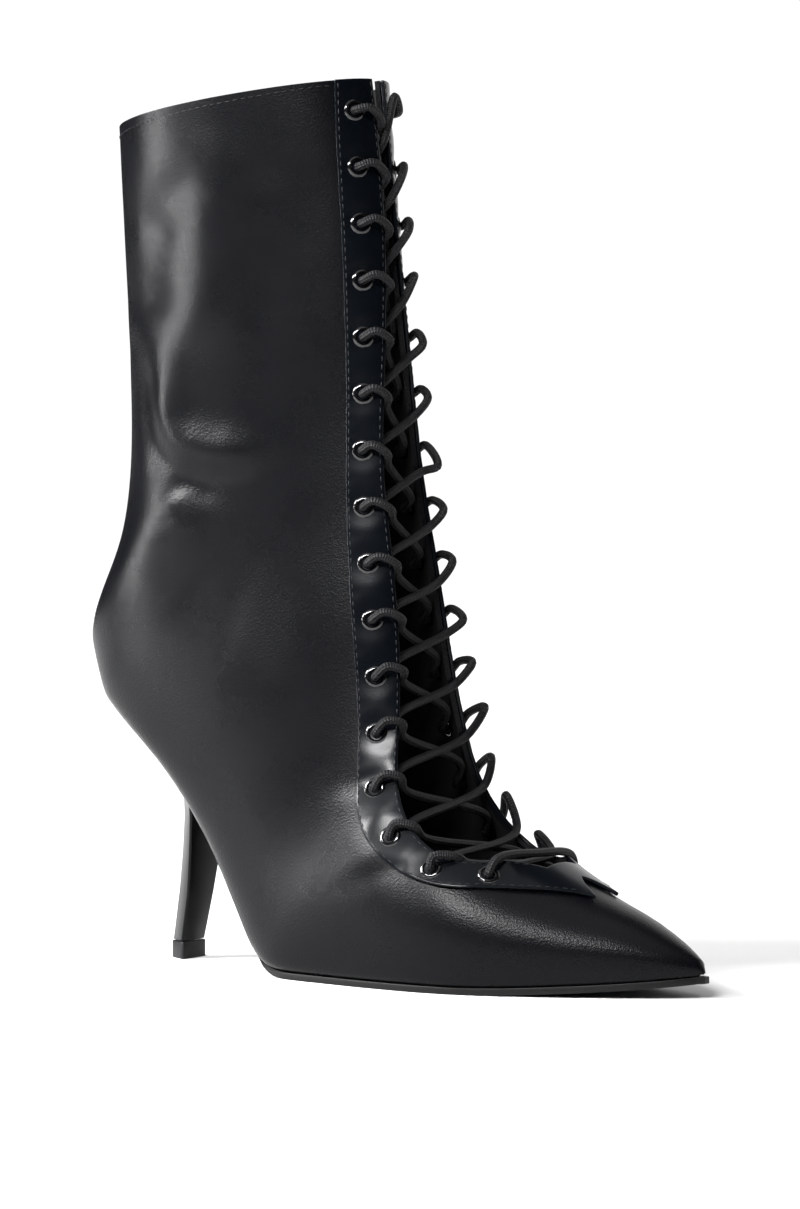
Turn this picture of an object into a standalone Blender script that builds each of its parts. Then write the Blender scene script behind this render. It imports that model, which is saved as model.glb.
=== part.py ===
"""Lace up ankle boot for the right foot, with a pointed toe and a slim heel.

Metres, +Z up. The toe points to +X and the outer (lateral) side of the foot to -Y. The origin is on the
floor, under the heel. The upper is a fan of flat sections: upright at the toe, tilting back round the
heel and lying almost level at the collar. One function, upper_point, gives every place on its surface,
and the facing, eyelets, lace, insole and outsole are all placed by that function.
"""

from collections import namedtuple
from math import cos, pi, sin

import bmesh
import bpy
import numpy as np
from mathutils import Matrix, Vector

MM = 0.001

# Driving sizes in millimetres
WALL = 1.8
CLEARANCE = 0.3
OUTSOLE_THICKNESS = 2.4
OUTSOLE_MARGIN = 0.7
OUTSOLE_TUCK = 5.0
OUTSOLE_TIP_REACH = 0.6
OUTSOLE_TIP_RISE = 0.1
OUTSOLE_TIP_HALF_WIDTH = 1.6
INSOLE_THICKNESS = 2.0
INSOLE_INSET = 2.6
FACING_THICKNESS = 1.2
FACING_LIFT = 0.75
EYELET_COUNT = 16
EYELET_SHARE = 0.54
EYELET_FIRST = 11.0
EYELET_LAST = 307.0
EYELET_BORE_RADIUS = 2.3
EYELET_BARREL_RADIUS = 2.65
EYELET_FLANGE_RADIUS = 4.0
EYELET_HOLE_RADIUS = 3.0
EYELET_HEIGHT = 1.2
EYELET_SIDES = 8
LACE_RADIUS = 1.5
CROSSING_OFFSET = 0.7
HEEL_TOP_PIECE_HEIGHT = 6.3
BREAST_X = 11.5
TREAD_LEVEL = OUTSOLE_THICKNESS + CLEARANCE

# Where the lace bends at the throat: how far past the facing's edge and how far off it
LIP_REACH = 0.5
LIP_LIFT = 0.6
INNER_LIP_REACH = 1.0
INNER_LIP_DROP = 0.4
BAR_LIFT = 1.5

# The notch in the front of the facing: its point, and the half width where it opens
NOTCH_POINT_X = 167.0
NOTCH_OPEN_X = 179.0
NOTCH_HALF_WIDTH = 6.2

# Cutters, made larger than what they cut
HOLE_CUT_LENGTH = 12.0
SEAT_CUT_MARGIN = 12.0
SEAT_CUT_HEIGHT = 60.0
SEAT_CUT_BACK = (14.0, 11.0)
BREAST_CUT_LOW = (-20.0, -60.0, 30.0)
BREAST_CUT_HIGH = (60.0, 110.0)
NOTCH_CUT_HEIGHTS = (20.0, 60.0)

# How the surface is divided
ROWS_PER_SECTION = 2
SHAFT_START = 14
SOLE_CELLS = 2
SIDE_CELLS = 7
FACING_CELLS = 2
THROAT_CELLS = 2
BOTTOM_CELLS = 4
EYELET_LINE_STEPS = 160
CURVE_STEPS = 24
FRAME_STEP = 0.05

# Sections of the upper, from the toe tip to the collar. Each lies in the plane through its back point,
# its front point and the Y axis. lateral and medial are the half widths, widest the share of the way from
# back to front where they are reached, sole_lateral and sole_medial the half widths of the open bottom,
# flat says whether the bottom is flat (1) or round (0), gap is the half width of the open throat and
# facing the width of the facing beside it.
Section = namedtuple(
    "Section",
    "name back_x back_z front_x front_z lateral medial widest sole_lateral sole_medial flat gap facing",
)
SECTIONS = (
    Section("toe tip", 213.4, 7.7, 213.2, 12.9, 2.7, 2.7, 0.45, 2.0, 2.0, 1, 0.6, 0.8),
    Section("toe point", 207, 6.9, 206, 17.9, 8.5, 8.0, 0.42, 7.6, 7.2, 1, 1.0, 2.0),
    Section("toe", 194, 5.6, 192, 25.8, 16.5, 14.5, 0.38, 15.4, 13.5, 1, 1.2, 3.0),
    Section("facing tip", 178.5, 4.4, 176.5, 32.1, 24.5, 21.2, 0.34, 23.0, 19.8, 1, 1.5, 4.8),
    Section("throat end", 160, 3.3, 157.5, 41.4, 33.0, 29.0, 0.32, 31.2, 27.4, 1, 8.5, 15.4),
    Section("ball front", 141, 2.7, 141, 52, 40.0, 36.0, 0.30, 37.8, 34.0, 1, 27.0, 10.8),
    Section("ball", 121, 2.7, 129.5, 61, 42.5, 39.0, 0.30, 39.6, 36.2, 1, 32.2, 11.6),
    Section("ball back", 93, 2.7, 121, 72, 41.5, 39.0, 0.31, 37.8, 34.0, 1, 30.1, 15.6),
    Section("tread end", 64, 2.7, 115.5, 85, 39.0, 37.5, 0.31, 33.5, 29.5, 1, 24.6, 19.8),
    Section("waist front", 50.5, 7.2, 111.5, 99, 36.5, 35.5, 0.31, 28.0, 24.5, 1, 19.6, 20.8),
    Section("waist", 39.5, 21.5, 108.5, 112, 34.5, 34.0, 0.32, 23.5, 21.5, 1, 16.4, 19.6),
    Section("arch", 25, 46, 106, 126, 33.5, 33.5, 0.33, 21.5, 21.0, 1, 14.3, 18.4),
    Section("seat front", 8, 68.5, 103.8, 142, 33.0, 33.0, 0.33, 22.0, 22.0, 1, 13.2, 17.3),
    Section("seat", -10, 84.0, 101.5, 158, 32.0, 32.0, 0.33, 20.5, 20.5, 1, 12.2, 16.0),
    Section("seat back", -26, 95.5, 99, 175, 31.0, 31.0, 0.33, 14.0, 14.0, 1, 11.4, 14.6),
    Section("counter", -37.0, 107, 96, 194, 30.5, 30.5, 0.34, 9.0, 9.0, 0, 9.8, 14.2),
    Section("bulge", -37.2, 121, 93, 213, 30.0, 30.0, 0.35, 9.0, 9.0, 0, 7.5, 14.8),
    Section("tendon", -24.4, 147, 90, 235, 29.5, 29.5, 0.37, 9.0, 9.0, 0, 5.2, 16.0),
    Section("ankle", -19.6, 180, 87.3, 260, 30.0, 30.0, 0.39, 9.5, 9.5, 0, 3.3, 16.6),
    Section("shaft", -20.4, 220, 85, 282, 31.0, 31.0, 0.40, 10.0, 10.0, 0, 2.8, 16.2),
    Section("calf", -22.2, 260, 83.3, 297, 32.5, 32.5, 0.41, 10.5, 10.5, 0, 2.8, 15.5),
    Section("collar", -24.0, 298.5, 81.5, 312.5, 33.5, 33.5, 0.42, 11.0, 11.0, 0, 3.1, 14.2),
)
TOE_POINT = 1
FACING_TIP = 3
THROAT_END = 4
TREAD_END = 8
TUCK_END = 9.5
WAIST = 10
INSOLE_END = 13.88
SEAT_BACK = 14
COLLAR = len(SECTIONS) - 1
TOE_POLE = (215.2, 7.8)

# Heel sections from its top piece up: where its back and front lie, and the half widths at its side
# ridges and across its narrow back.
HeelSection = namedtuple("HeelSection", "back_x back_z front_x front_z side back")
HEEL_SECTIONS = (
    HeelSection(-5.0, 6.6, 2.2, 6.6, 6.3, 2.6),
    HeelSection(-2.2, 24, 5.7, 24, 7.3, 2.8),
    HeelSection(-0.4, 38, 7.6, 38, 8.7, 3.2),
    HeelSection(1.0, 52, 9.4, 51, 10.5, 3.8),
    HeelSection(1.2, 62, 10.9, 57, 12.8, 4.8),
    HeelSection(-0.5, 69.5, BREAST_X, 60, 15.0, 5.6),
    HeelSection(-9.0, 79.5, BREAST_X, 63, 18.0, 8.0),
    HeelSection(-20.0, 89.5, BREAST_X, 66, 20.0, 12.0),
    HeelSection(-20.0, 116, BREAST_X, 96, 20.0, 12.0),
)
HEEL_RIDGE_SHARE = 0.86
TOP_PIECE_MARGIN = 0.35


def clear_scene():
    for old in list(bpy.data.objects):
        bpy.data.objects.remove(old, do_unlink=True)


def collection(name, cutters=False):
    made = bpy.data.collections.new(name)
    bpy.context.scene.collection.children.link(made)
    made.hide_render = cutters
    return made


def material(name, colour, roughness, metallic=0.0):
    made = bpy.data.materials.new(name)
    made.use_nodes = True
    shader = made.node_tree.nodes["Principled BSDF"]
    shader.inputs["Base Color"].default_value = (*colour, 1.0)
    shader.inputs["Roughness"].default_value = roughness
    shader.inputs["Metallic"].default_value = metallic
    return made


def add_mesh(name, points_mm, faces, home, look=None):
    """A mesh object from points in millimetres."""
    mesh = bpy.data.meshes.new(name)
    mesh.from_pydata([Vector(p) * MM for p in points_mm], [], faces)
    made = bpy.data.objects.new(name, mesh)
    home.objects.link(made)
    if look:
        mesh.materials.append(look)
    cage = bmesh.new()
    cage.from_mesh(mesh)
    bmesh.ops.recalc_face_normals(cage, faces=cage.faces)
    cage.to_mesh(mesh)
    cage.free()
    return made


def add_cutter(made):
    """Marks an object as a cutter, drawn as wires and left out of the render."""
    made.display_type = "WIRE"
    made.hide_render = True
    return made


def boolean(target, operation, other):
    step = target.modifiers.new(operation.lower(), "BOOLEAN")
    step.operation = operation
    step.solver = "EXACT"
    step.object = other
    return step


def smooth_between(values, t):
    """The table's values at a place t between its rows, on a curve through the rows."""
    low = int(min(max(t, 0), len(values) - 1.000001))
    share = t - low
    rows = [values[min(max(low + k, 0), len(values) - 1)] for k in (-1, 0, 1, 2)]
    before, start, end, after = (np.array(row, float) for row in rows)
    first = (end - before) / 2
    last = (after - start) / 2
    lean = share * (1 - share)
    blend = share * share * (3 - 2 * share)
    return start + (end - start) * blend + lean * ((1 - share) * first - share * last)


def section_at(t):
    numbers = smooth_between([row[1:] for row in SECTIONS], t)
    found = Section(f"row {t:.2f}", *numbers)
    # The tread stays level where the table holds it level.
    return found._replace(back_z=max(found.back_z, TREAD_LEVEL), flat=min(max(found.flat, 0.0), 1.0))


def half_curve(section, side):
    """One half of a section, from the middle of its bottom to the middle of its front, as (y, share)."""
    width = section.lateral if side < 0 else section.medial
    sole = section.sole_lateral if side < 0 else section.sole_medial
    flat_half = sole * section.flat
    curve = [(0.0, 0.0)]
    for step in range(CURVE_STEPS + 1):
        turn = pi / 2 * step / CURVE_STEPS
        curve.append((flat_half + (width - flat_half) * sin(turn), section.widest * (1 - cos(turn))))
    for step in range(1, CURVE_STEPS + 1):
        turn = pi / 2 * step / CURVE_STEPS
        curve.append((width * cos(turn), section.widest + (1 - section.widest) * sin(turn)))
    return np.array(curve), sole


def placed_curve(t, side):
    """The half section in space, with the run along it, and the run at its sole and throat edges."""
    section = section_at(t)
    curve, sole = half_curve(section, side)
    across = np.array((section.front_x - section.back_x, section.front_z - section.back_z))
    x = section.back_x + across[0] * curve[:, 1]
    z = section.back_z + across[1] * curve[:, 1]
    points = np.column_stack([x, side * curve[:, 0], z])
    run = np.concatenate([[0.0], np.cumsum(np.linalg.norm(np.diff(points, axis=0), axis=1))])
    on_top = curve[:, 1] >= section.widest
    throat = np.interp(-section.gap, -curve[on_top, 0], run[on_top])
    return points, run, sole, throat


def at_run(points, run, wanted):
    return np.array([np.interp(wanted, run, points[:, axis]) for axis in range(3)])


def upper_point(t, side, from_throat):
    """A place on the outer surface, from_throat millimetres back from the throat's edge."""
    points, run, _, throat = placed_curve(t, side)
    return at_run(points, run, throat - from_throat)


def upper_frame(t, side, from_throat):
    """That place with the outward direction of the surface, the way back from the throat, and up."""
    here = upper_point(t, side, from_throat)
    up = upper_point(t + FRAME_STEP, side, from_throat) - upper_point(t - FRAME_STEP, side, from_throat)
    back = upper_point(t, side, from_throat + 1) - upper_point(t, side, from_throat - 1)
    out = np.cross(back, up) * side
    return here, out / np.linalg.norm(out), back / np.linalg.norm(back), up / np.linalg.norm(up)


def row_runs(t, side):
    """Distances along a half section where the columns of the surface lie, from bottom to front."""
    _, run, sole, throat = placed_curve(t, side)
    facing = throat - section_at(t).facing
    stretches = ((0, sole, SOLE_CELLS), (sole, facing, SIDE_CELLS))
    stretches += ((facing, throat, FACING_CELLS), (throat, run[-1], THROAT_CELLS))
    runs = [0.0]
    for start, end, cells in stretches:
        runs += [start + (end - start) * k / cells for k in range(1, cells + 1)]
    return runs


def row_points(t):
    """The points of one row: up the lateral half from bottom to front, then down the medial one."""
    halves = []
    for side in (-1, 1):
        points, run, _, _ = placed_curve(t, side)
        halves.append([at_run(points, run, wanted) for wanted in row_runs(t, side)])
    lateral, medial = halves
    return lateral + medial[-2:0:-1]


HALF = SOLE_CELLS + SIDE_CELLS + FACING_CELLS + THROAT_CELLS
RING = 2 * HALF
ROW_PLACES = [k / ROWS_PER_SECTION for k in range(SHAFT_START * ROWS_PER_SECTION)]
ROW_PLACES += list(range(SHAFT_START, COLLAR + 1))


def column_kind(column):
    """What the cell between this column and the next one is: sole, side, facing or throat."""
    cell = column if column < HALF else RING - 1 - column
    if cell < SOLE_CELLS:
        return "sole"
    if cell < SOLE_CELLS + SIDE_CELLS:
        return "side"
    return "facing" if cell < HALF - THROAT_CELLS else "throat"


def make_upper(home, look):
    """The open shell of the upper, given its wall inwards."""
    points = [p for t in ROW_PLACES for p in row_points(t)]
    faces = []
    for row, t in enumerate(ROW_PLACES[:-1]):
        for column in range(RING):
            kind = column_kind(column)
            if kind == "sole" and t < SEAT_BACK or kind == "throat" and t >= THROAT_END:
                continue
            beside = (column + 1) % RING
            above = (row + 1) * RING
            faces.append((row * RING + column, row * RING + beside, above + beside, above + column))
    pole = len(points)
    points.append((TOE_POLE[0], 0.0, TOE_POLE[1]))
    faces += [(k, k + 1, pole) for k in range(RING) if column_kind(k) != "sole" and k < RING - 1]
    upper = add_mesh("upper", points, faces, home, look)
    drop_loose_points(upper.data)
    wall = upper.modifiers.new("wall", "SOLIDIFY")
    wall.thickness = WALL * MM
    wall.offset = -1
    return upper


def drop_loose_points(mesh):
    """Removes the points that the openings leave without a face."""
    cage = bmesh.new()
    cage.from_mesh(mesh)
    bmesh.ops.delete(cage, geom=[v for v in cage.verts if not v.link_faces], context="VERTS")
    cage.to_mesh(mesh)
    cage.free()


def make_eyestay(home, look, cutters):
    """The facing: the upper's own surface beside the throat, lifted clear of the upper."""
    places = [t for t in ROW_PLACES if t >= FACING_TIP]
    first = SOLE_CELLS + SIDE_CELLS
    columns = list(range(first, RING - first + 1))
    points = []
    for t in places:
        ring = row_points(t)
        points += [ring[k] for k in columns]
    faces = []
    width = len(columns)
    for row, t in enumerate(places[:-1]):
        for k, column in enumerate(columns[:-1]):
            if column_kind(column) == "throat" and t >= THROAT_END:
                continue
            low = row * width + k
            faces.append((low, low + 1, low + width + 1, low + width))
    eyestay = add_mesh("eyestay", points, faces, home, look)
    drop_loose_points(eyestay.data)
    lift_along_normals(eyestay.data, FACING_LIFT)
    body = eyestay.modifiers.new("thickness", "SOLIDIFY")
    body.thickness = FACING_THICKNESS * MM
    body.offset = 1
    boolean(eyestay, "DIFFERENCE", facing_notch(cutters))
    return eyestay


def facing_notch(home):
    """The wedge that leaves the front of the facing with two tips, like a swallow's tail."""
    outline = ((NOTCH_POINT_X, 0), (NOTCH_OPEN_X, NOTCH_HALF_WIDTH), (NOTCH_OPEN_X, -NOTCH_HALF_WIDTH))
    corners = [(x, y, z) for z in NOTCH_CUT_HEIGHTS for x, y in outline]
    faces = [(0, 1, 2), (3, 5, 4), (0, 3, 4, 1), (1, 4, 5, 2), (2, 5, 3, 0)]
    return add_cutter(add_mesh("facing_notch", corners, faces, home))


def lift_along_normals(mesh, distance_mm):
    """Turns the faces outwards and moves the surface off what it lies on."""
    cage = bmesh.new()
    cage.from_mesh(mesh)
    cage.normal_update()
    up_share = sum(f.normal.x + f.normal.z for f in cage.faces)
    sign = 1 if up_share > 0 else -1
    if sign < 0:
        bmesh.ops.reverse_faces(cage, faces=cage.faces)
        cage.normal_update()
    for vertex in cage.verts:
        vertex.co += vertex.normal * distance_mm * MM
    cage.to_mesh(mesh)
    cage.free()


def bottom_line(places, outset, lift):
    """Rows across the open bottom, widened by outset, which is one number or one for each row."""
    rows = []
    for t, outset in zip(places, np.broadcast_to(outset, len(places))):
        section = section_at(t)
        across = np.linspace(-section.sole_lateral - outset, section.sole_medial + outset, BOTTOM_CELLS + 1)
        rows.append([(section.back_x, y, section.back_z + lift) for y in across])
    return rows


def sheet(name, rows, home, look, thickness, upwards):
    """A plate through these rows of points, thickened to one side."""
    width = len(rows[0])
    points = [p for row in rows for p in row]
    faces = []
    for r in range(len(rows) - 1):
        for k in range(width - 1):
            low = r * width + k
            faces.append((low, low + 1, low + width + 1, low + width))
    made = add_mesh(name, points, faces, home, look)
    cage = bmesh.new()
    cage.from_mesh(made.data)
    cage.normal_update()
    if sum(f.normal.z for f in cage.faces) < 0:
        bmesh.ops.reverse_faces(cage, faces=cage.faces)
    cage.to_mesh(made.data)
    cage.free()
    body = made.modifiers.new("thickness", "SOLIDIFY")
    body.thickness = thickness * MM
    body.offset = 1 if upwards else -1
    return made


def make_insole(home, look):
    places = [t for t in ROW_PLACES if TOE_POINT <= t < SEAT_BACK] + [INSOLE_END]
    return sheet("insole", bottom_line(places, -INSOLE_INSET, 0.0), home, look, INSOLE_THICKNESS, True)


def make_outsole(home, look, cutters):
    """The sole from the toe tip to the heel's breast. It stands out at the tread and is tucked in after."""
    seat = [t for t in ROW_PLACES if section_at(t).back_x < BREAST_X]
    places = [t for t in ROW_PLACES if t <= seat[0]]
    outsets = np.interp(places, (TREAD_END, TUCK_END), (OUTSOLE_MARGIN, -OUTSOLE_TUCK))
    rows = bottom_line(places, outsets, -CLEARANCE)
    tip_height = rows[0][0][2] + OUTSOLE_TIP_RISE
    tip_across = np.linspace(-OUTSOLE_TIP_HALF_WIDTH, OUTSOLE_TIP_HALF_WIDTH, BOTTOM_CELLS + 1)
    tip = [(TOE_POLE[0] + OUTSOLE_TIP_REACH, y, tip_height) for y in tip_across]
    outsole = sheet("outsole", [tip] + rows, home, look, OUTSOLE_THICKNESS, False)
    high = (BREAST_X + CLEARANCE, *BREAST_CUT_HIGH)
    boolean(outsole, "DIFFERENCE", add_box("outsole_end", BREAST_CUT_LOW, high, cutters))
    return outsole


def add_box(name, low, high, home):
    corners = [(x, y, z) for x in (low[0], high[0]) for y in (low[1], high[1]) for z in (low[2], high[2])]
    faces = [(0, 1, 3, 2), (4, 6, 7, 5), (0, 4, 5, 1), (2, 3, 7, 6), (0, 2, 6, 4), (1, 5, 7, 3)]
    return add_cutter(add_mesh(name, corners, faces, home))


def heel_ring(section):
    """Six corners: two at the breast, two side ridges, and two at the narrow back."""
    ridge = HEEL_RIDGE_SHARE
    along = ((1.0, section.side), (ridge, section.side), (0.0, section.back))
    ring = []
    for share, half in along:
        x = section.back_x + (section.front_x - section.back_x) * share
        z = section.back_z + (section.front_z - section.back_z) * share
        ring.append((x, half, z))
    return ring + [(x, -y, z) for x, y, z in reversed(ring)]


def loft(name, rings, home, look):
    """A closed body through rings of corners."""
    count = len(rings[0])
    points = [p for ring in rings for p in ring]
    faces = [tuple(range(count)), tuple(range(len(points) - count, len(points)))]
    for level in range(len(rings) - 1):
        for k in range(count):
            beside = (k + 1) % count
            low = level * count
            faces.append((low + k, low + beside, low + count + beside, low + count + k))
    return add_mesh(name, points, faces, home, look)


def make_heel(home, look, cutters):
    """The heel block, faceted, with its top cut to the seat."""
    heel = loft("heel", [heel_ring(s) for s in HEEL_SECTIONS], home, look)
    places = [t for t in ROW_PLACES if WAIST <= t <= SEAT_BACK]
    rows = bottom_line(places, SEAT_CUT_MARGIN, -CLEARANCE)
    rows.append([(x - SEAT_CUT_BACK[0], y, z + SEAT_CUT_BACK[1]) for x, y, z in rows[-1]])
    seat = sheet("heel_seat", rows, cutters, None, SEAT_CUT_HEIGHT, True)
    boolean(heel, "DIFFERENCE", add_cutter(seat))
    return heel


def make_heel_tip(home, look):
    """The top piece, a hair wider than the heel, standing on the floor."""
    foot = HEEL_SECTIONS[0]
    height = HEEL_TOP_PIECE_HEIGHT
    wide = foot._replace(
        back_x=foot.back_x - TOP_PIECE_MARGIN,
        front_x=foot.front_x + TOP_PIECE_MARGIN,
        side=foot.side + TOP_PIECE_MARGIN,
        back=foot.back + TOP_PIECE_MARGIN,
    )
    low = wide._replace(back_z=0, front_z=0)
    high = wide._replace(back_z=height, front_z=height)
    return loft("heel_tip", [heel_ring(low), heel_ring(high)], home, look)


def eyelet_inset(t):
    """How far an eyelet's middle lies back from the throat's edge."""
    return EYELET_SHARE * section_at(t).facing


def facing_line(side):
    """The line of the eyelets from the collar to the front, as places t with the distance run."""
    places = np.linspace(COLLAR, THROAT_END, EYELET_LINE_STEPS)
    points = np.array([upper_point(t, side, eyelet_inset(t)) for t in places])
    run = np.concatenate([[0.0], np.cumsum(np.linalg.norm(np.diff(points, axis=0), axis=1))])
    return places, run


def eyelet_places(side):
    places, run = facing_line(side)
    wanted = np.linspace(EYELET_FIRST, EYELET_LAST, EYELET_COUNT)
    return [float(np.interp(w, run, places)) for w in wanted]


def turned_to(here, out, up):
    """A matrix with its Z along out and its origin at here, in metres."""
    z = Vector(out).normalized()
    x = Vector(up).cross(z).normalized()
    y = z.cross(x)
    turn = Matrix((x, y, z)).transposed().to_4x4()
    return Matrix.Translation(Vector(here) * MM) @ turn


def make_eyelet(name, home, look, place):
    """A turned ring: a flange on the facing and a barrel through facing and upper."""
    top = FACING_LIFT + FACING_THICKNESS
    profile = (
        (EYELET_BORE_RADIUS, -WALL),
        (EYELET_BORE_RADIUS, top + EYELET_HEIGHT),
        (EYELET_FLANGE_RADIUS, top + CLEARANCE),
        (EYELET_BARREL_RADIUS, top + CLEARANCE),
        (EYELET_BARREL_RADIUS, -WALL),
    )
    mesh = bpy.data.meshes.new(name)
    edges = [(k, (k + 1) % len(profile)) for k in range(len(profile))]
    mesh.from_pydata([Vector((r, 0, z)) * MM for r, z in profile], edges, [])
    mesh.materials.append(look)
    made = bpy.data.objects.new(name, mesh)
    home.objects.link(made)
    turn = made.modifiers.new("turn", "SCREW")
    turn.steps = EYELET_SIDES
    turn.render_steps = EYELET_SIDES
    turn.use_merge_vertices = True
    turn.merge_threshold = 0.00001
    made.matrix_world = place
    return made


def eyelet_holes(cutters, homes):
    """One cutter that holds all the eyelets' holes."""
    cage = bmesh.new()
    for place in homes:
        spin = place @ Matrix.Rotation(pi / EYELET_SIDES, 4, "Z")
        bmesh.ops.create_cone(
            cage,
            cap_ends=True,
            segments=EYELET_SIDES,
            radius1=EYELET_HOLE_RADIUS * MM,
            radius2=EYELET_HOLE_RADIUS * MM,
            depth=HOLE_CUT_LENGTH * MM,
            matrix=spin,
        )
    mesh = bpy.data.meshes.new("eyelet_holes")
    cage.to_mesh(mesh)
    cage.free()
    made = bpy.data.objects.new("eyelet_holes", mesh)
    cutters.objects.link(made)
    return add_cutter(made)


def tube(name, points_mm, home):
    """A cord as a closed mesh, from a bevelled curve through these points."""
    curve = bpy.data.curves.new(name, "CURVE")
    curve.dimensions = "3D"
    curve.bevel_depth = LACE_RADIUS * MM
    curve.bevel_resolution = 1
    curve.use_fill_caps = True
    spline = curve.splines.new("POLY")
    spline.points.add(len(points_mm) - 1)
    for point, where in zip(spline.points, points_mm):
        point.co = (*(Vector(where) * MM), 1)
    drawn = bpy.data.objects.new(name + "_curve", curve)
    home.objects.link(drawn)
    bpy.context.view_layer.update()
    graph = bpy.context.evaluated_depsgraph_get()
    mesh = bpy.data.meshes.new_from_object(drawn.evaluated_get(graph))
    bpy.data.objects.remove(drawn)
    cage = bmesh.new()
    cage.from_mesh(mesh)
    bmesh.ops.remove_doubles(cage, verts=cage.verts, dist=1e-6)
    bmesh.ops.recalc_face_normals(cage, faces=cage.faces)
    cage.to_mesh(mesh)
    cage.free()
    made = bpy.data.objects.new(name, mesh)
    home.objects.link(made)
    return made


def outside(t, side, from_throat, lift):
    """A place lifted off the upper's outer surface, or sunk under it."""
    here, out, _, _ = upper_frame(t, side, from_throat)
    return here + out * lift


OVER_FACING = FACING_LIFT + FACING_THICKNESS + LACE_RADIUS + CLEARANCE
OVER_EYELET = FACING_LIFT + FACING_THICKNESS + EYELET_HEIGHT + LACE_RADIUS + 2 * CLEARANCE
UNDER_WALL = -(WALL + LACE_RADIUS + 2 * CLEARANCE)


def strand(side, leaves, arrives):
    """A strand from over one eyelet, across the throat, to under the next eyelet of the other side."""
    start = outside(leaves, side, eyelet_inset(leaves), OVER_EYELET)
    lip = outside(leaves, side, -LIP_REACH, OVER_FACING + LIP_LIFT)
    inner_lip = outside(arrives, -side, -INNER_LIP_REACH, UNDER_WALL - INNER_LIP_DROP)
    end = outside(arrives, -side, eyelet_inset(arrives) - INNER_LIP_REACH, UNDER_WALL)
    return start, lip, inner_lip, end


def make_crossing(number, near, far, home, look, cutters):
    """Two strands that cross over the throat, joined where they touch."""
    first = strand(-1, near[number - 1], far[number])
    second = strand(1, far[number - 1], near[number])
    middle = (first[1] + first[2] + second[1] + second[2]) / 4
    name = f"lace_cross_{number:02d}"
    made = tube(name, [first[0], first[1], middle, first[2], first[3]], home)
    over = middle + np.array((CROSSING_OFFSET, 0.0, CROSSING_OFFSET))
    other = tube(name + "_far", [second[0], second[1], over, second[2], second[3]], cutters)
    made.data.materials.append(look)
    boolean(made, "UNION", add_cutter(other))
    return made


def make_bar(near, far, home, look):
    """The bar between the two front eyelets, outside the facing."""
    fronts = ((-1, near[-1]), (1, far[-1]))
    ends = [outside(t, side, eyelet_inset(t), OVER_EYELET) for side, t in fronts]
    lips = [outside(t, side, 0, OVER_FACING + BAR_LIFT) for side, t in fronts]
    made = tube("lace_bar", [ends[0], lips[0], (lips[0] + lips[1]) / 2, lips[1], ends[1]], home)
    made.data.materials.append(look)
    return made


def main():
    clear_scene()
    boot = collection("lace_up_ankle_boot")
    cutters = collection("cutters", cutters=True)
    leather = material("upper_leather", (0.018, 0.018, 0.020), 0.42)
    gloss = material("facing_leather", (0.016, 0.017, 0.020), 0.28)
    lining = material("insole_board", (0.03, 0.03, 0.03), 0.8)
    sole = material("outsole_rubber", (0.02, 0.02, 0.02), 0.5)
    block = material("heel_cover", (0.017, 0.017, 0.019), 0.35)
    rest = material("top_piece", (0.025, 0.025, 0.025), 0.5)
    enamel = material("eyelet_enamel", (0.01, 0.01, 0.01), 0.2)
    cord = material("lace_cord", (0.035, 0.035, 0.04), 0.6)

    upper = make_upper(boot, leather)
    eyestay = make_eyestay(boot, gloss, cutters)
    make_insole(boot, lining)
    make_outsole(boot, sole, cutters)
    make_heel(boot, block, cutters)
    make_heel_tip(boot, rest)

    rows = {"near": (-1, eyelet_places(-1)), "far": (1, eyelet_places(1))}
    homes = []
    for label, (side, places) in rows.items():
        for number, t in enumerate(places, 1):
            here, out, _, up = upper_frame(t, side, eyelet_inset(t))
            place = turned_to(here, out, up)
            make_eyelet(f"eyelet_{label}_{number:02d}", boot, enamel, place)
            homes.append(place)
    holes = eyelet_holes(cutters, homes)
    boolean(upper, "DIFFERENCE", holes)
    boolean(eyestay, "DIFFERENCE", holes)

    near, far = rows["near"][1], rows["far"][1]
    for number in range(1, EYELET_COUNT):
        make_crossing(number, near, far, boot, cord, cutters)
    make_bar(near, far, boot, cord)


main()
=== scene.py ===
# %% [markdown]
# # A lace up ankle boot, dressed for its portrait
# The imported part gives the boot's frame: its sizes, its place on the floor and the names of its pieces.
# This lesson builds the finished looks round it: a fine upper with creases, a glossy facing
# with thirty two enamelled eyelets, one long lace, stitches, a covered heel, and the light of a photo
# studio. All sizes are the shoe's own, in millimetres, and become metres only in the meshes.

from collections import namedtuple
from math import cos, pi, sin

import bpy
import numpy as np
from mathutils import Matrix, Vector


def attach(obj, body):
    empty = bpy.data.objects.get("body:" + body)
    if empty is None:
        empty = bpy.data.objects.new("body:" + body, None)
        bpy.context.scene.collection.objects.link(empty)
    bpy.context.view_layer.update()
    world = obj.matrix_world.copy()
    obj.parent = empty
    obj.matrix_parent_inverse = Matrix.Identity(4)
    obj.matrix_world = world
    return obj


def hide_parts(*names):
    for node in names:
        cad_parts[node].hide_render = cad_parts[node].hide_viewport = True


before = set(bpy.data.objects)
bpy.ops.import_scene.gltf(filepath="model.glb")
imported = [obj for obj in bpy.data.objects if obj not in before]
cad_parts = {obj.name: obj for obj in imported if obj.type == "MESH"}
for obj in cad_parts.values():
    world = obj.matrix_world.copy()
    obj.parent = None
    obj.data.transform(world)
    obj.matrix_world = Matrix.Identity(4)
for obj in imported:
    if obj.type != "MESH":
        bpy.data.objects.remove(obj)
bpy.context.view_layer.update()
MM = 0.001
print("nodes in the frame:", len(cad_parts))

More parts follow.
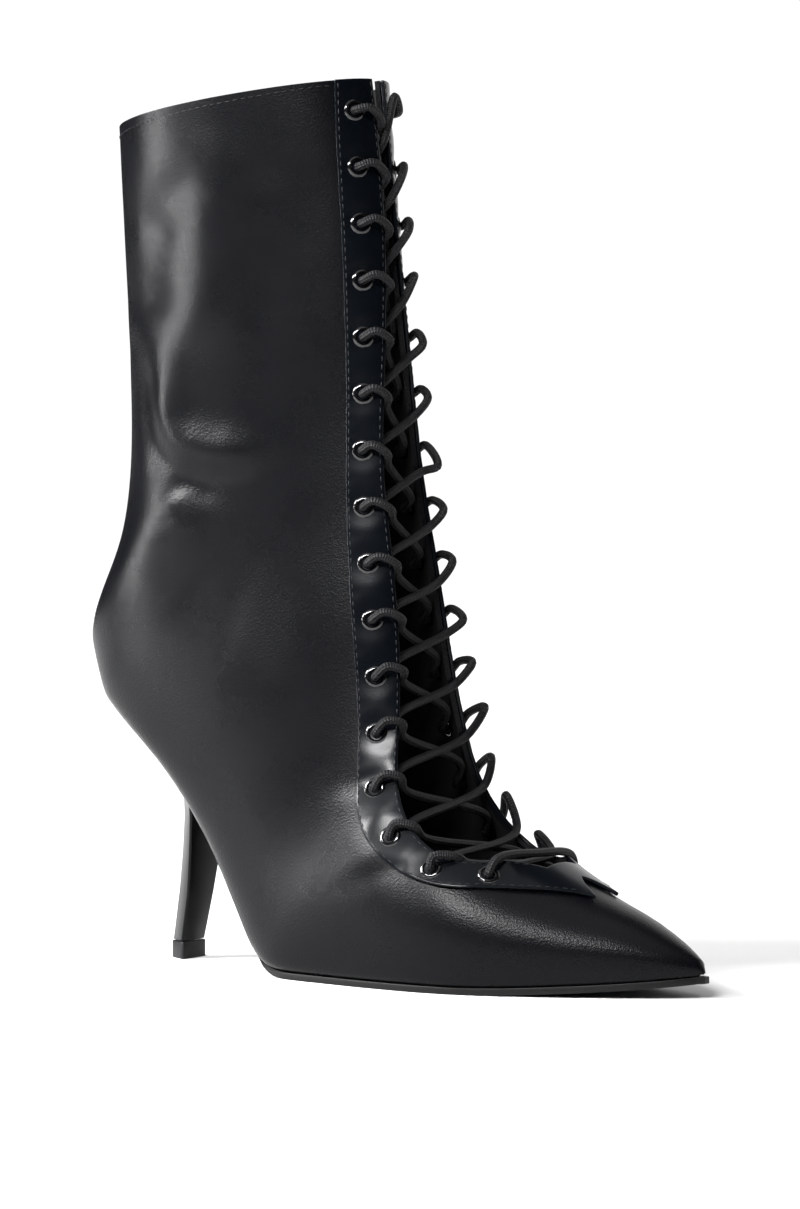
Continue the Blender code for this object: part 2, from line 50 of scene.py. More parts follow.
# %% [markdown]
# ## The last
# A shoe is built round a last, the solid foot form. Here the last is a table: a row for each section,
# from the toe tip round the heel to the collar. Each section lies in a plane through its back point, its
# front point and the Y axis. Interpolating a table keeps the form easy to change: one number moves one
# section. The columns are the same as the solid part's own.

# %% The table of sections
Section = namedtuple(
    "Section",
    "back_x back_z front_x front_z lateral medial widest sole_lateral sole_medial flat gap facing",
)
SECTIONS = (
    Section(213.4, 7.7, 213.2, 12.9, 2.7, 2.7, 0.45, 2.0, 2.0, 1, 0.6, 0.8),
    Section(207, 6.9, 206, 17.9, 8.5, 8.0, 0.42, 7.6, 7.2, 1, 1.0, 2.0),
    Section(194, 5.6, 192, 25.8, 16.5, 14.5, 0.38, 15.4, 13.5, 1, 1.2, 3.0),
    Section(178.5, 4.4, 176.5, 32.1, 24.5, 21.2, 0.34, 23.0, 19.8, 1, 1.5, 4.8),
    Section(160, 3.3, 157.5, 41.4, 33.0, 29.0, 0.32, 31.2, 27.4, 1, 8.5, 15.4),
    Section(141, 2.7, 141, 52, 40.0, 36.0, 0.30, 37.8, 34.0, 1, 27.0, 10.8),
    Section(121, 2.7, 129.5, 61, 42.5, 39.0, 0.30, 39.6, 36.2, 1, 32.2, 11.6),
    Section(93, 2.7, 121, 72, 41.5, 39.0, 0.31, 37.8, 34.0, 1, 30.1, 15.6),
    Section(64, 2.7, 115.5, 85, 39.0, 37.5, 0.31, 33.5, 29.5, 1, 24.6, 19.8),
    Section(50.5, 7.2, 111.5, 99, 36.5, 35.5, 0.31, 28.0, 24.5, 1, 19.6, 20.8),
    Section(39.5, 21.5, 108.5, 112, 34.5, 34.0, 0.32, 23.5, 21.5, 1, 16.4, 19.6),
    Section(25, 46, 106, 126, 33.5, 33.5, 0.33, 21.5, 21.0, 1, 14.3, 18.4),
    Section(8, 68.5, 103.8, 142, 33.0, 33.0, 0.33, 22.0, 22.0, 1, 13.2, 17.3),
    Section(-10, 84.0, 101.5, 158, 32.0, 32.0, 0.33, 20.5, 20.5, 1, 12.2, 16.0),
    Section(-26, 95.5, 99, 175, 31.0, 31.0, 0.33, 14.0, 14.0, 1, 11.4, 14.6),
    Section(-37.0, 107, 96, 194, 30.5, 30.5, 0.34, 9.0, 9.0, 0, 9.8, 14.2),
    Section(-37.2, 121, 93, 213, 30.0, 30.0, 0.35, 9.0, 9.0, 0, 7.5, 14.8),
    Section(-24.4, 147, 90, 235, 29.5, 29.5, 0.37, 9.0, 9.0, 0, 5.2, 16.0),
    Section(-19.6, 180, 87.3, 260, 30.0, 30.0, 0.39, 9.5, 9.5, 0, 3.3, 16.6),
    Section(-20.4, 220, 85, 282, 31.0, 31.0, 0.40, 10.0, 10.0, 0, 2.8, 16.2),
    Section(-22.2, 260, 83.3, 297, 32.5, 32.5, 0.41, 10.5, 10.5, 0, 2.8, 15.5),
    Section(-24.0, 298.5, 81.5, 312.5, 33.5, 33.5, 0.42, 11.0, 11.0, 0, 3.1, 14.2),
)
FACING_TIP = 3
THROAT_END = 4
SEAT_BACK = 14
COLLAR = len(SECTIONS) - 1
TREAD_HEIGHT = 2.7
print("sections:", len(SECTIONS))

# %% [markdown]
# A smooth leather shows every kink in a highlight. The rows are joined by a curve through them, and the
# curve is then averaged over a short stretch, as a last maker sands the form.

# %% Fair the table into smooth curves
FAIR_STEP = 0.02
FAIR_SPREAD = 0.28
FAIR_PLACES = np.arange(0, COLLAR + FAIR_STEP / 2, FAIR_STEP)


def through_rows(values, t):
    low = int(min(max(t, 0), len(values) - 1.000001))
    share = t - low
    rows = [values[min(max(low + k, 0), len(values) - 1)] for k in (-1, 0, 1, 2)]
    before, start, end, after = (np.array(row, float) for row in rows)
    blend = share * share * (3 - 2 * share)
    lean = share * (1 - share)
    pull = (1 - share) * (end - before) - share * (after - start)
    return start + (end - start) * blend + lean * pull / 2


def faired_table():
    raw = np.array([through_rows(SECTIONS, t) for t in FAIR_PLACES])
    reach = int(3 * FAIR_SPREAD / FAIR_STEP)
    weights = np.exp(-0.5 * (np.arange(-reach, reach + 1) * FAIR_STEP / FAIR_SPREAD) ** 2)
    weights /= weights.sum()
    start = 2 * raw[0] - raw[reach:0:-1]
    end = 2 * raw[-1] - raw[-2 : -reach - 2 : -1]
    padded = np.vstack([start, raw, end])
    return np.column_stack([np.convolve(column, weights, "valid") for column in padded.T])


FAIR_TABLE = faired_table()


def section_at(t):
    numbers = [np.interp(t, FAIR_PLACES, column) for column in FAIR_TABLE.T]
    found = Section(*numbers)
    return found._replace(back_z=max(found.back_z, TREAD_HEIGHT), flat=min(max(found.flat, 0.0), 1.0))


print("ball width in mm:", round(section_at(6).lateral + section_at(6).medial, 1))

# %% [markdown]
# Half of a section is two quarter ellipses: one from the sole up to the widest place, one from there to
# the front. Distances are measured along that curve, so a place on the boot has two coordinates: the
# section t, and the millimetres from the edge of the throat.

# %% Find places on the surface
CURVE_STEPS = 48
FRAME_STEP = 0.04
FRAME_REACH = 0.5


def placed_curve(t, side):
    """Half a section in space, the run along it, and the run at its sole and throat edges."""
    section = section_at(t)
    width = section.lateral if side < 0 else section.medial
    sole = section.sole_lateral if side < 0 else section.sole_medial
    flat_half = sole * section.flat
    turn = np.linspace(0, pi / 2, CURVE_STEPS + 1)
    low_across = flat_half + (width - flat_half) * np.sin(turn)
    low = np.column_stack([low_across, section.widest * (1 - np.cos(turn))])
    high_share = section.widest + (1 - section.widest) * np.sin(turn[1:])
    high = np.column_stack([width * np.cos(turn[1:]), high_share])
    curve = np.vstack([[(0.0, 0.0)], low, high])
    x = section.back_x + (section.front_x - section.back_x) * curve[:, 1]
    z = section.back_z + (section.front_z - section.back_z) * curve[:, 1]
    points = np.column_stack([x, side * curve[:, 0], z])
    run = np.concatenate([[0.0], np.cumsum(np.linalg.norm(np.diff(points, axis=0), axis=1))])
    on_top = curve[:, 1] >= section.widest
    throat = np.interp(-section.gap, -curve[on_top, 0], run[on_top])
    return points, run, sole, throat


def at_run(points, run, wanted):
    return np.array([np.interp(wanted, run, points[:, axis]) for axis in range(3)])


def surface_point(t, side, from_throat):
    points, run, _, throat = placed_curve(t, side)
    return at_run(points, run, throat - from_throat)


def surface_frame(t, side, from_throat):
    """A place on the surface with the outward direction, the way back from the throat, and the way up."""
    here = surface_point(t, side, from_throat)
    above = surface_point(t + FRAME_STEP, side, from_throat)
    below = surface_point(t - FRAME_STEP, side, from_throat)
    up = above - below
    behind = surface_point(t, side, from_throat + FRAME_REACH)
    ahead = surface_point(t, side, from_throat - FRAME_REACH)
    back = behind - ahead
    out = np.cross(back, up) * side
    return here, out / np.linalg.norm(out), back / np.linalg.norm(back), up / np.linalg.norm(up)


def outside(t, side, from_throat, lift):
    here, out, _, _ = surface_frame(t, side, from_throat)
    return here + out * lift


print("throat edge at the collar in mm:", surface_point(COLLAR, -1, 0).round(1))

# %% [markdown]
# ## Tools for meshes
# Most pieces start as a flat grid, the way leather starts as a flat hide, and are then laid on the last:
# each vertex of the grid has a row and a column, and a function says where that place lies. The finished
# mesh keeps the grid's own UV map, which later carries the lace's braid.

# %% Lay a grid on the last


def deselect_all():
    bpy.ops.object.select_all(action="DESELECT")


def make_active(piece):
    deselect_all()
    piece.select_set(True)
    bpy.context.view_layer.objects.active = piece


def laid_grid(name, places):
    """A mesh grid whose vertex at row r and column c lies at places[r, c], in millimetres."""
    rows, columns = places.shape[:2]
    deselect_all()
    bpy.ops.mesh.primitive_grid_add(
        x_subdivisions=columns - 1, y_subdivisions=rows - 1, size=1.0, calc_uvs=True
    )
    piece = bpy.context.object
    piece.name = name
    piece.data.name = name
    piece.data.vertices.foreach_set("co", (places.reshape(-1, 3) * MM).astype(np.float32).ravel())
    piece.data.update()
    return piece


def keep_faces(piece, keep):
    """Deletes the faces for which keep, an array with an entry per face, is false."""
    make_active(piece)
    bpy.ops.object.mode_set(mode="EDIT")
    bpy.ops.mesh.select_mode(type="FACE")
    bpy.ops.mesh.select_all(action="DESELECT")
    bpy.ops.object.mode_set(mode="OBJECT")
    piece.data.polygons.foreach_set("select", ~keep)
    bpy.ops.object.mode_set(mode="EDIT")
    bpy.ops.mesh.delete(type="FACE")
    bpy.ops.mesh.select_all(action="SELECT")
    bpy.ops.mesh.delete_loose()
    bpy.ops.object.mode_set(mode="OBJECT")


def edit_whole(piece, operator, **settings):
    """Runs one edit mode operator on all of a piece."""
    make_active(piece)
    bpy.ops.object.mode_set(mode="EDIT")
    bpy.ops.mesh.select_all(action="SELECT")
    operator(**settings)
    bpy.ops.object.mode_set(mode="OBJECT")


def merge_doubles(piece, distance=0.02):
    edit_whole(piece, bpy.ops.mesh.remove_doubles, threshold=distance * MM)


def face_outwards(piece):
    edit_whole(piece, bpy.ops.mesh.normals_make_consistent, inside=False)


def apply_modifier(piece, kind, **settings):
    make_active(piece)
    step = piece.modifiers.new(kind.lower(), kind)
    for key, value in settings.items():
        setattr(step, key, value)
    bpy.ops.object.modifier_apply(modifier=step.name)


def round_edges(piece, width, segments, sharper_than):
    """Bevels the edges that turn by more than an angle in radians, to a width in millimetres."""
    settings = {"width": width * MM, "segments": segments}
    apply_modifier(piece, "BEVEL", limit_method="ANGLE", angle_limit=sharper_than, **settings)


def smooth_shading(piece, degrees=40):
    make_active(piece)
    bpy.ops.object.shade_smooth_by_angle(angle=degrees * pi / 180)


def dress(piece, look, slot, *replaced):
    """Gives a finished piece its finish, its body and the solids that it stands for."""
    if not piece.data.materials:
        piece.data.materials.append(look)
    else:
        piece.data.materials[0] = look
    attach(piece, "root")
    if replaced:
        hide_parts(*replaced)
    return piece


print("mesh tools ready")

# %% [markdown]
# ## Tools for finishes
# A finish is a graph of shader nodes. Sums are easier to read as sums, so a small class wraps a socket
# and lets Python's operators add the Math nodes.

# %% Shader expressions


class Value:
    """A number that varies over the surface."""

    def __init__(self, graph, socket):
        self.graph = graph
        self.socket = socket

    def _math(self, operation, *others):
        return self.graph.node("ShaderNodeMath", {"operation": operation}, dict(enumerate(others)))

    def __add__(self, other):
        return self._math("ADD", self, other)

    def __sub__(self, other):
        return self._math("SUBTRACT", self, other)

    def __mul__(self, other):
        return self._math("MULTIPLY", self, other)

    def __rsub__(self, other):
        return self._math("SUBTRACT", other, self)

    __radd__ = __add__
    __rmul__ = __mul__

    def sine(self):
        return self._math("SINE", self)

    def clamped(self):
        made = self._math("ADD", self, 0.0)
        made.socket.node.use_clamp = True
        return made


class Graph:
    """One material's nodes."""

    def __init__(self, name):
        self.material = bpy.data.materials.new(name)
        self.material.use_nodes = True
        self.tree = self.material.node_tree
        self.shader = self.tree.nodes["Principled BSDF"]

    def node(self, kind, settings, inputs, output=0):
        made = self.tree.nodes.new(kind)
        for key, value in settings.items():
            setattr(made, key, value)
        for key, value in inputs.items():
            self.feed(made.inputs[key], value)
        return Value(self, made.outputs[output])

    def feed(self, socket, value):
        if isinstance(value, Value):
            self.tree.links.new(value.socket, socket)
        else:
            socket.default_value = value

    def set(self, **values):
        """Sockets of the shader, named with underscores for spaces."""
        for key, value in values.items():
            self.feed(self.shader.inputs[key.replace("_", " ")], value)

    def place(self):
        return self.node("ShaderNodeTexCoord", {}, {}, "Object")

    def uv(self):
        return self.node("ShaderNodeTexCoord", {}, {}, "UV")

    def noise(self, where, per_metre, detail=3.0):
        inputs = {"Vector": where, "Scale": per_metre, "Detail": detail, "Roughness": 0.5}
        return self.node("ShaderNodeTexNoise", {}, inputs)

    def cells(self, where, per_metre):
        inputs = {"Vector": where, "Scale": per_metre}
        return self.node("ShaderNodeTexVoronoi", {"feature": "F1"}, inputs)

    def mixed(self, share, first, second):
        """A colour between two colours."""
        settings = {"data_type": "RGBA"}
        return self.node("ShaderNodeMix", settings, {0: share, 6: (*first, 1), 7: (*second, 1)}, 2)

    def bump(self, height, depth_mm):
        inputs = {"Height": height, "Distance": depth_mm * MM, "Strength": 1.0}
        self.set(Normal=self.node("ShaderNodeBump", {}, inputs))


print("shader tools ready")

# %% [markdown]
# ## Finishes
# The upper is a smooth coated leather: nearly black, satin, with a very fine pebble of about half a
# millimetre. The facing is the same leather with more gloss. The lining is a matt textile, the heel is
# covered and polished, and the lace is a waxed braid. A black leather gets its form from its highlights,
# so its own colour stays near zero, and the roughness and the reflection level set how wide and how
# bright they are. Cells and noise of a few tenths of a millimetre make the grain.

# %% Leather
PEBBLES_PER_METRE = 1500
LEATHER_REFLECTION = 0.09


def leather(name, colour, roughness, coat, coat_roughness, grain_depth):
    graph = Graph(name)
    where = graph.place()
    pebble = graph.cells(where, PEBBLES_PER_METRE)
    fine = graph.noise(where, 2600, 2.0)
    broad = graph.noise(where, 38, 3.0)
    graph.bump(pebble * 0.6 + fine * 0.4, grain_depth)
    graph.set(
        Base_Color=graph.mixed(broad, colour, tuple(1.35 * c for c in colour)),
        Roughness=(broad - 0.5) * 0.10 + fine * 0.03 + roughness,
        Coat_Weight=coat,
        Coat_Roughness=coat_roughness,
        Specular_IOR_Level=LEATHER_REFLECTION,
    )
    return graph.material


upper_look = leather("upper_leather_look", (0.0011, 0.0012, 0.0016), 0.265, 0.0, 0.28, 0.09)
facing_look = leather("facing_leather_look", (0.0008, 0.0012, 0.0019), 0.22, 0.04, 0.14, 0.014)
heel_look = leather("heel_cover_look", (0.0006, 0.0007, 0.0009), 0.22, 0.0, 0.2, 0.006)
print("leathers:", upper_look.name, facing_look.name, heel_look.name)

# %% Lining, sole, enamel and thread
PLAIN_REFLECTION = 0.15


def plain(name, colour, roughness, metallic=0.0, grain=900, depth=0.02, coat=0.0):
    graph = Graph(name)
    speckle = graph.noise(graph.place(), grain, 3.0)
    graph.bump(speckle, depth)
    darker = tuple(0.85 * c for c in colour)
    lighter = tuple(1.15 * c for c in colour)
    graph.set(
        Base_Color=graph.mixed(speckle, darker, lighter),
        Roughness=(speckle - 0.5) * 0.12 + roughness,
        Metallic=metallic,
        Coat_Weight=coat,
        Coat_Roughness=0.1,
        Specular_IOR_Level=PLAIN_REFLECTION,
    )
    return graph.material


lining_look = plain("lining_look", (0.002, 0.002, 0.002), 0.85, grain=1800, depth=0.05)
sole_look = plain("outsole_rubber_look", (0.003, 0.003, 0.003), 0.42, grain=700, depth=0.03)
tip_look = plain("top_piece_look", (0.005, 0.005, 0.0055), 0.45, grain=900, depth=0.04)
enamel_look = plain("eyelet_enamel_look", (0.010, 0.010, 0.011), 0.16, 0.85, depth=0.003, coat=0.8)
thread_look = plain("thread_look", (0.006, 0.006, 0.007), 0.5, grain=3000, depth=0.05)
print("plain finishes ready")

# %% [markdown]
# The lace is a tubular braid. On its UV map, U goes round the cord and V along it, so two families of
# slanting waves, one each way, cross to give the braid's diamonds. The same waves paint shade into the
# colour: darker in the hollows, lighter on the raised strands. The wax lifts the gloss a little.

# %% Lace
LACE_RADIUS = 1.5
BRAID_STRANDS = 8
BRAID_PITCH = 6.5
LACE_REFLECTION = 0.16


def lace_finish(length_mm):
    graph = Graph("lace_look")
    uv = graph.node("ShaderNodeSeparateXYZ", {}, {0: graph.uv()}, 0)
    v = Value(graph, uv.socket.node.outputs[1])
    along = v * (pi * BRAID_STRANDS * length_mm / BRAID_PITCH)
    around = uv * (pi * BRAID_STRANDS)
    one_way = (along + around).sine()
    other_way = (along - around).sine()
    weave = (one_way * other_way) * 0.5 + 0.5
    fuzz = graph.noise(graph.place(), 2400, 2.0)
    graph.bump(weave * 0.8 + fuzz * 0.35, 0.45)
    graph.set(
        # Painted shade: the base colour is darker in the braid's hollows and lighter on the raised
        # strands.
        Base_Color=graph.mixed(weave, (0.0014, 0.0014, 0.0017), (0.0050, 0.0050, 0.0058)),
        Roughness=fuzz * 0.2 + 0.45,
        Specular_IOR_Level=LACE_REFLECTION,
    )
    return graph.material


print("lace finish ready")

# %% [markdown]
# ## The upper
# The shaft is empty, so it has slumped a little: a soft fold runs round the ankle, and the leather rolls
# out above and below it. Each crease is a line on the side of the boot, in X and Z, with the width and
# depth of a soft trough, or of a ridge where the depth is positive. They are added to the last's surface
# along its outward direction.

# %% Creases
Crease = namedtuple("Crease", "side width depth line")
SIDE_FADE = 14.0
ANKLE_FOLD = ((-8, 219), (-2, 212), (1, 202), (4, 191), (10, 181), (18, 175), (30, 172), (44, 174))
FOLD_LIP = ((8, 214), (10, 202), (12, 191), (19, 185), (32, 182), (44, 182), (55, 186))
CREASES = (
    # The deep fold that swings round the back of the ankle, and the lip above it.
    Crease(-1, 6.5, -2.0, ANKLE_FOLD),
    Crease(-1, 8.5, 2.5, FOLD_LIP),
    # The long ridge that leans back down the calf, with a hollow on each side.
    Crease(-1, 13.0, 2.4, ((34, 300), (35, 275), (36, 256), (35, 240), (28, 228), (17, 216))),
    Crease(-1, 12.0, -2.0, ((12, 270), (8, 260), (5, 248), (3, 235), (2, 226))),
    Crease(-1, 14.0, -1.4, ((53, 285), (54, 262), (52, 240), (44, 224))),
    Crease(-1, 9.0, -1.1, ((-4, 268), (12, 269), (26, 277), (42, 282))),
    # The swelling under the fold, the hollow over the counter and the roll of the vamp.
    Crease(-1, 9.0, 0.9, ((14, 168), (18, 160), (19, 152))),
    Crease(-1, 15.0, -0.4, ((20, 138), (34, 128), (50, 124))),
    Crease(-1, 14.0, 1.2, ((100, 72), (104, 54), (110, 38))),
    # The medial side, which the photo doesn't show: a fold, its lip and three soft hollows and swellings.
    Crease(1, 6.5, -2.2, ((-9, 200), (-4, 186), (8, 178), (24, 178), (40, 186))),
    Crease(1, 9.0, 1.6, ((4, 208), (8, 196), (22, 190), (38, 196))),
    Crease(1, 12.0, -1.3, ((34, 268), (30, 244), (20, 222))),
    Crease(1, 11.0, 1.3, ((10, 272), (6, 250), (0, 232))),
    Crease(1, 12.0, -1.1, ((14, 142), (32, 130), (54, 126))),
)


def distance_to_line(x, z, line):
    """The distance to a bent line, and a share that fades out at its two ends."""
    best = np.full(x.shape, 1e9)
    along = np.zeros(x.shape)
    ends = np.array(line, float)
    lengths = np.linalg.norm(np.diff(ends, axis=0), axis=1)
    total = lengths.sum()
    before = 0.0
    for start, end, length in zip(ends[:-1], ends[1:], lengths):
        way = (end - start) / length
        run = np.clip((x - start[0]) * way[0] + (z - start[1]) * way[1], 0, length)
        gap = np.hypot(x - start[0] - way[0] * run, z - start[1] - way[1] * run)
        nearer = gap < best
        best = np.where(nearer, gap, best)
        along = np.where(nearer, (before + run) / total, along)
        before += length
    fade = np.clip(np.minimum(along, 1 - along) * 4, 0, 1)
    return best, 0.25 + 0.75 * fade * fade * (3 - 2 * fade)


def crease_depth(x, y, z):
    total = np.zeros(x.shape)
    for crease in CREASES:
        gap, fade = distance_to_line(x, z, crease.line)
        on_this_side = np.clip(crease.side * y / SIDE_FADE, 0, 1)
        bell = np.exp(-((gap / crease.width) ** 2))
        total += crease.depth * bell * fade * on_this_side
    return total


def crease_at(place):
    """The depth at one place."""
    return crease_depth(*[np.array([number]) for number in place])[0]


print("creases placed by hand:", len(CREASES))

# %% [markdown]
# The hide itself is one grid, wrapped round the last from the bottom's middle, up one side and down the
# other. The cells under the foot and in the open throat are deleted, and Solidify gives the wall. The
# toe is closed by gathering the first row to the tip.

# %% Wrap the hide
ROWS_PER_SECTION = 9
SOLE_CELLS = 3
SIDE_CELLS = 42
FACING_CELLS = 10
THROAT_CELLS = 4
HALF = SOLE_CELLS + SIDE_CELLS + FACING_CELLS + THROAT_CELLS
WALL = 1.8
TOE_POLE = (215.2, 0.0, 8.6)
TOE_ROUNDING = 0.55
ON_THE_ROW = 0.001
ROW_PLACES = np.linspace(0, COLLAR, COLLAR * ROWS_PER_SECTION + 1)


def half_runs(t, side):
    points, run, sole, throat = placed_curve(t, side)
    facing = throat - section_at(t).facing
    stops = [0.0]
    stretches = (
        (0, sole, SOLE_CELLS),
        (sole, facing, SIDE_CELLS),
        (facing, throat, FACING_CELLS),
        (throat, run[-1], THROAT_CELLS),
    )
    for start, end, cells in stretches:
        stops += list(start + (end - start) * np.arange(1, cells + 1) / cells)
    return points, run, stops


def wrapped_row(t):
    """One row round the boot, from the bottom's middle up the lateral side and down the medial one."""
    halves = []
    for side in (-1, 1):
        points, run, stops = half_runs(t, side)
        halves.append(np.array([at_run(points, run, stop) for stop in stops]))
    return np.vstack([halves[0], halves[1][-2::-1]])


def surface_normals(places):
    """Outward directions of a grid of places, from its neighbours."""
    up = np.gradient(places, axis=0)
    across = np.gradient(places, axis=1)
    normals = np.cross(up, across)
    lengths = np.linalg.norm(normals, axis=2, keepdims=True)
    return normals / np.maximum(lengths, 1e-9)


def outward(places, column):
    """The normals of a grid, turned so that one column near the collar points to the lateral side."""
    normals = surface_normals(places)
    return -normals if normals[-20, column][1] > 0 else normals


hide = np.array([wrapped_row(t) for t in ROW_PLACES])
hide_out = outward(hide, hide.shape[1] // 4)
print("grid of the hide:", hide.shape[:2])

# %% Cut, gather and thicken the hide


def column_kind(column):
    cell = column if column < HALF else 2 * HALF - 1 - column
    if cell < SOLE_CELLS:
        return "sole"
    if cell < SOLE_CELLS + SIDE_CELLS:
        return "side"
    return "facing" if cell < HALF - THROAT_CELLS else "throat"


def hide_cells_kept():
    kept = []
    for t in ROW_PLACES[:-1]:
        for column in range(2 * HALF):
            kind = column_kind(column)
            open_sole = kind == "sole" and t < SEAT_BACK - ON_THE_ROW
            open_throat = kind == "throat" and t >= THROAT_END - ON_THE_ROW
            kept.append(not (open_sole or open_throat))
    return np.array(kept)


def make_upper():
    creased = hide + hide_out * crease_depth(hide[..., 0], hide[..., 1], hide[..., 2])[..., None]
    pole = np.broadcast_to(np.array(TOE_POLE), hide[:1].shape)
    nose = hide[:1] * (1 - TOE_ROUNDING) + pole * TOE_ROUNDING
    laid = np.concatenate([pole, nose, creased])
    piece = laid_grid("upper_fine", laid)
    nose_cells = np.array([column_kind(c) != "sole" for _ in range(2) for c in range(2 * HALF)])
    keep_faces(piece, np.concatenate([nose_cells, hide_cells_kept()]))
    merge_doubles(piece)
    face_outwards(piece)
    piece.data.materials.append(upper_look)
    piece.data.materials.append(lining_look)
    apply_modifier(piece, "SOLIDIFY", thickness=WALL * MM, offset=-1, material_offset=1)
    smooth_shading(piece, 50)
    return dress(piece, upper_look, "upper_leather", "upper")


upper = make_upper()
print("faces of the upper:", len(upper.data.polygons))

# %% [markdown]
# ## The facing
# The facing, or eyestay, is a second layer sewn on round the throat. It is laid on the same last, a
# little higher. Its front end is cut with a swallow tail, and the leather dips round each eyelet where
# the punch has pulled it in.

# %% Find the eyelets
EYELET_COUNT = 16
EYELET_FIRST = 11.0
EYELET_LAST = 307.0
EYELET_SHARE = 0.54
EYELET_LINE_PLACES = 320
NEAR, FAR = -1, 1


def eyelet_inset(t):
    return EYELET_SHARE * section_at(t).facing


def eyelet_places(side):
    places = np.linspace(COLLAR, THROAT_END, EYELET_LINE_PLACES)
    points = np.array([surface_point(t, side, eyelet_inset(t)) for t in places])
    run = np.concatenate([[0.0], np.cumsum(np.linalg.norm(np.diff(points, axis=0), axis=1))])
    wanted = np.linspace(EYELET_FIRST, EYELET_LAST, EYELET_COUNT)
    return [float(np.interp(w, run, places)) for w in wanted]


EYELETS = {side: eyelet_places(side) for side in (NEAR, FAR)}
EYELET_CENTRES = np.array(
    [surface_point(t, side, eyelet_inset(t)) for side in (NEAR, FAR) for t in EYELETS[side]]
)
print("eyelets a side:", EYELET_COUNT)

# %% Lay and thicken the facing
FACING_LIFT = 0.30
FACING_THICKNESS = 1.35
FACING_ROUNDING = 0.32
NOTCH_DEPTH = 0.55
NOTCH_CURVE = 1.4
FACING_ROWS_PER_SECTION = 16
FACING_BAND_CELLS = 14
DIMPLE_DEPTH = 0.45
DIMPLE_WIDTH = 5.2
DIMPLE_RIM = 0.12
DIMPLE_RIM_RADIUS = 8.5
DIMPLE_RIM_WIDTH = 2.4


def dimple(points):
    """The dip round the nearest eyelet, with the low rim that the leather raises about it."""
    gaps = np.linalg.norm(points[..., None, :] - EYELET_CENTRES, axis=-1).min(axis=-1)
    dip = np.exp(-((gaps / DIMPLE_WIDTH) ** 2))
    rim = np.exp(-(((gaps - DIMPLE_RIM_RADIUS) / DIMPLE_RIM_WIDTH) ** 2))
    return DIMPLE_RIM * rim - DIMPLE_DEPTH * dip


def facing_row(t):
    """One row of the facing, from its lateral outer edge over the throat to its medial outer edge."""
    halves = []
    for side in (NEAR, FAR):
        band = np.linspace(1, 0, FACING_BAND_CELLS + 1)
        middle_cells = np.linspace(0, 1, THROAT_CELLS + 1)[1:]
        shares = np.concatenate([band, -middle_cells])
        row = []
        for share in shares:
            section = section_at(t)
            edge = max(share, 0.0) * section.facing
            to_centre = max(-share, 0.0)
            outer_share = (edge + section.gap * (1 - to_centre)) / (section.facing + section.gap)
            here = t
            if t < THROAT_END:
                front = FACING_TIP + NOTCH_DEPTH * (1 - outer_share) ** NOTCH_CURVE
                here = front + (t - FACING_TIP) * (THROAT_END - front)
            points, run, _, throat = placed_curve(here, side)
            wanted = throat - share * section_at(here).facing
            if share < 0:
                wanted = throat + to_centre * (run[-1] - throat)
            row.append(at_run(points, run, wanted))
        halves.append(np.array(row))
    return np.vstack([halves[0], halves[1][-2::-1]])


def make_facing():
    places = np.linspace(FACING_TIP, COLLAR, (COLLAR - FACING_TIP) * FACING_ROWS_PER_SECTION + 1)
    laid = np.array([facing_row(t) for t in places])
    out = outward(laid, 4)
    lift = FACING_LIFT + crease_depth(laid[..., 0], laid[..., 1], laid[..., 2]) + dimple(laid)
    piece = laid_grid("facing_fine", laid + out * lift[..., None])
    columns = laid.shape[1] - 1
    half = columns // 2
    kept = []
    for t in places[:-1]:
        for column in range(columns):
            over_throat = half - THROAT_CELLS <= column < half + THROAT_CELLS
            kept.append(not (over_throat and t >= THROAT_END - ON_THE_ROW))
    keep_faces(piece, np.array(kept))
    face_outwards(piece)
    apply_modifier(piece, "SOLIDIFY", thickness=FACING_THICKNESS * MM, offset=1)
    round_edges(piece, FACING_ROUNDING, 2, 1.0)
    smooth_shading(piece, 60)
    return dress(piece, facing_look, "facing_leather", "eyestay")


facing = make_facing()
print("faces of the facing:", len(facing.data.polygons))

# %% [markdown]
# ## Eyelets
# An eyelet is a turned ring: a rolled flange outside and a barrel through the leather. One profile is
# drawn and spun once, and the result is copied to its thirty two places.

# %% Turn one eyelet and copy it
FLANGE_TOP = FACING_LIFT + FACING_THICKNESS
EYELET_PROFILE = (
    (2.25, -WALL - 0.3),
    (2.25, FLANGE_TOP - 0.1),
    (2.42, FLANGE_TOP + 0.35),
    (2.85, FLANGE_TOP + 0.62),
    (3.35, FLANGE_TOP + 0.55),
    (3.75, FLANGE_TOP + 0.25),
    (3.92, FLANGE_TOP - 0.15),
    (3.80, FLANGE_TOP - 0.35),
    (2.70, FLANGE_TOP - 0.35),
    (2.70, -WALL - 0.3),
)
EYELET_STEPS = 28


def turned_ring(name):
    deselect_all()
    bpy.ops.mesh.primitive_circle_add(vertices=len(EYELET_PROFILE), radius=1 * MM, fill_type="NOTHING")
    ring = bpy.context.object
    ring.name = name
    profile = np.array([(r * MM, 0.0, z * MM) for r, z in EYELET_PROFILE], np.float32)
    ring.data.vertices.foreach_set("co", profile.ravel())
    make_active(ring)
    bpy.ops.object.mode_set(mode="EDIT")
    bpy.ops.mesh.select_all(action="SELECT")
    bpy.ops.mesh.spin(steps=EYELET_STEPS, angle=2 * pi, center=(0, 0, 0), axis=(0, 0, 1))
    bpy.ops.mesh.select_all(action="SELECT")
    bpy.ops.mesh.remove_doubles(threshold=0.005 * MM)
    bpy.ops.mesh.normals_make_consistent(inside=False)
    bpy.ops.object.mode_set(mode="OBJECT")
    return ring


def turned_to(here, out, up):
    z = Vector(out).normalized()
    x = Vector(up).cross(z).normalized()
    y = z.cross(x)
    return Matrix.Translation(Vector(here) * MM) @ Matrix((x, y, z)).transposed().to_4x4()


